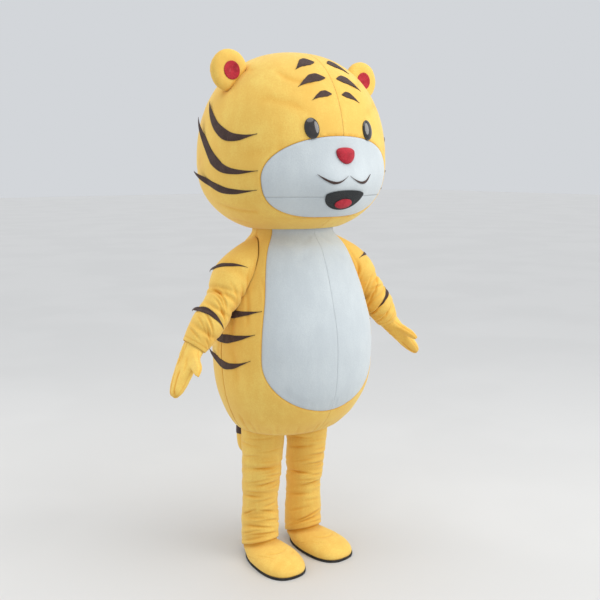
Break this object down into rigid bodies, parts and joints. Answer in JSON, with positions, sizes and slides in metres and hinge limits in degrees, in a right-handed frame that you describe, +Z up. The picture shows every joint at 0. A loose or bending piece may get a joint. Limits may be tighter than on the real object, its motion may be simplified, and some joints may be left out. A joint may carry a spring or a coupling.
{
  "type": "tiger mascot costume",
  "caption": "Worn tiger costume, hollow: big foam-backed head, round body with a white belly, striped sleeves, mitts, leg tubes, soled shoes and a ringed tail.",
  "frame": {"origin": "middle of the suit at the height of the wearer's shoulders, 1.29 m above the floor", "axes": "+Z up, the costume faces -Y, and the wearer's left arm is at +X"},
  "size_m": [1.1624, 0.686, 1.95],
  "materials": {
    "yellow_plush": "short napped plush",
    "white_plush": "short napped plush",
    "brown_felt": "felt",
    "red_felt": "felt",
    "black_mesh": "see-through mesh",
    "eye_black": "gloss",
    "zip_tape": "woven tape with a nylon coil",
    "sole_black": "matt foam rubber"
  },
  "bodies": {
    "root": {"back_left": "yellow_plush", "back_right": "yellow_plush", "back_zip": "zip_tape", "base_panel": "yellow_plush", "belly_left": "white_plush", "belly_right": "white_plush", "body_stripe_high_left": "brown_felt", "body_stripe_high_right": "brown_felt", "body_stripe_low_left": "brown_felt", "body_stripe_low_right": "brown_felt", "body_stripe_middle_left": "brown_felt", "body_stripe_middle_right": "brown_felt", "ear_left": "yellow_plush", "ear_right": "yellow_plush", "eye_left": "eye_black", "eye_right": "eye_black", "forehead_low_left": "brown_felt", "forehead_low_right": "brown_felt", "forehead_middle_left": "brown_felt", "forehead_middle_right": "brown_felt", "forehead_top_left": "brown_felt", "forehead_top_right": "brown_felt", "head_left": "yellow_plush", "head_right": "yellow_plush", "head_stripe_high_left": "brown_felt", "head_stripe_high_right": "brown_felt", "head_stripe_low_left": "brown_felt", "head_stripe_low_right": "brown_felt", "head_stripe_middle_left": "brown_felt", "head_stripe_middle_right": "brown_felt", "inner_ear_left": "red_felt", "inner_ear_right": "red_felt", "leg_left": "yellow_plush", "leg_right": "yellow_plush", "lip_left": "brown_felt", "lip_right": "brown_felt", "mitt_left": "yellow_plush", "mitt_right": "yellow_plush", "mouth": "black_mesh", "muzzle_chin": "white_plush", "muzzle_upper": "white_plush", "nose": "red_felt", "shoe_left": "yellow_plush", "shoe_right": "yellow_plush", "side_front_left": "yellow_plush", "side_front_right": "yellow_plush", "sleeve_left": "yellow_plush", "sleeve_right": "yellow_plush", "sleeve_stripe_lower_left": "brown_felt", "sleeve_stripe_lower_right": "brown_felt", "sleeve_stripe_upper_left": "brown_felt", "sleeve_stripe_upper_right": "brown_felt", "sole_left": "sole_black", "sole_right": "sole_black", "tail": "yellow_plush", "tail_ring_high": "brown_felt", "tail_ring_low": "brown_felt", "tongue": "red_felt"}
  },
  "joints": []
}
